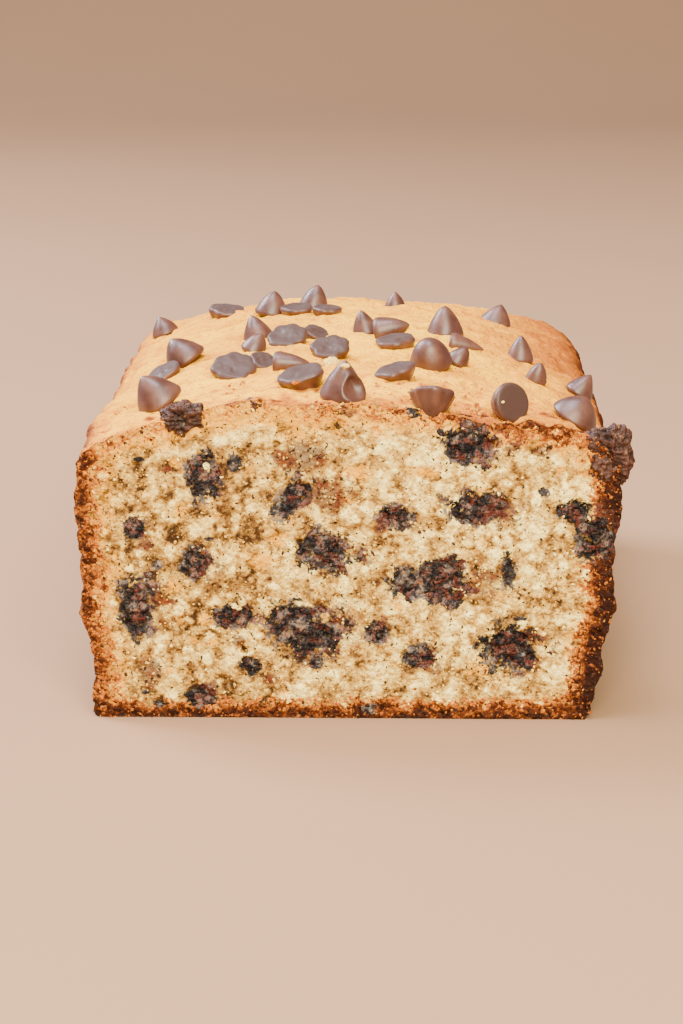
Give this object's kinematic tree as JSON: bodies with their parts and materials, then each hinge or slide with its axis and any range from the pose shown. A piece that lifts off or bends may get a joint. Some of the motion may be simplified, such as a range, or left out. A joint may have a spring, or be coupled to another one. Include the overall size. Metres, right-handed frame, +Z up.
{
  "type": "chocolate chip pound cake loaf",
  "caption": "Golden loaf-tin pound cake cut across one end, its pale crumb dotted with chocolate and its domed crust strewn with chocolate chips.",
  "frame": {"origin": "middle of the cake's box at its flat bottom", "axes": "+Z up, +Y along the loaf away from the cut face, +X to the right seen from the cut face"},
  "size_m": [0.1231, 0.1867, 0.0811],
  "materials": {
    "crust": null,
    "chip": null,
    "cut_chocolate": null,
    "chocolate_chunk": null
  },
  "bodies": {
    "root": {"corner_chunk": "chocolate_chunk", "cut_chip_01": "cut_chocolate", "cut_chip_02": "cut_chocolate", "cut_chip_03": "cut_chocolate", "cut_chip_04": "cut_chocolate", "cut_chip_05": "cut_chocolate", "cut_chip_06": "cut_chocolate", "cut_chip_07": "cut_chocolate", "cut_chip_08": "cut_chocolate", "cut_chip_09": "cut_chocolate", "cut_chip_10": "cut_chocolate", "cut_chip_11": "cut_chocolate", "cut_chip_12": "cut_chocolate", "cut_chip_13": "cut_chocolate", "cut_chip_14": "cut_chocolate", "cut_chip_15": "cut_chocolate", "cut_chip_16": "cut_chocolate", "cut_chip_17": "cut_chocolate", "cut_chip_18": "cut_chocolate", "cut_chip_19": "cut_chocolate", "edge_chunk": "chocolate_chunk", "edge_flake": "chocolate_chunk", "loaf": "crust", "top_chip_01": "chip", "top_chip_02": "chip", "top_chip_03": "chip", "top_chip_04": "chip", "top_chip_05": "chip", "top_chip_06": "chip", "top_chip_07": "chip", "top_chip_08": "chip", "top_chip_09": "chip", "top_chip_10": "chip", "top_chip_11": "chip", "top_chip_12": "chip", "top_chip_13": "chip", "top_chip_14": "chip", "top_chip_15": "chip", "top_chip_16": "chip", "top_chip_17": "chip", "top_chip_18": "chip", "top_chip_19": "chip", "top_chip_20": "chip", "top_chip_21": "chip", "top_chip_22": "chip", "top_chip_23": "chip", "top_chip_24": "chip", "top_chip_25": "chip", "top_chip_26": "chip", "top_chip_27": "chip", "top_chip_28": "chip", "top_chip_29": "chip", "top_chip_30": "chip", "top_chip_31": "chip", "top_chip_32": "chip", "top_chip_33": "chip", "top_chip_34": "chip", "top_chip_35": "chip"}
  },
  "joints": []
}
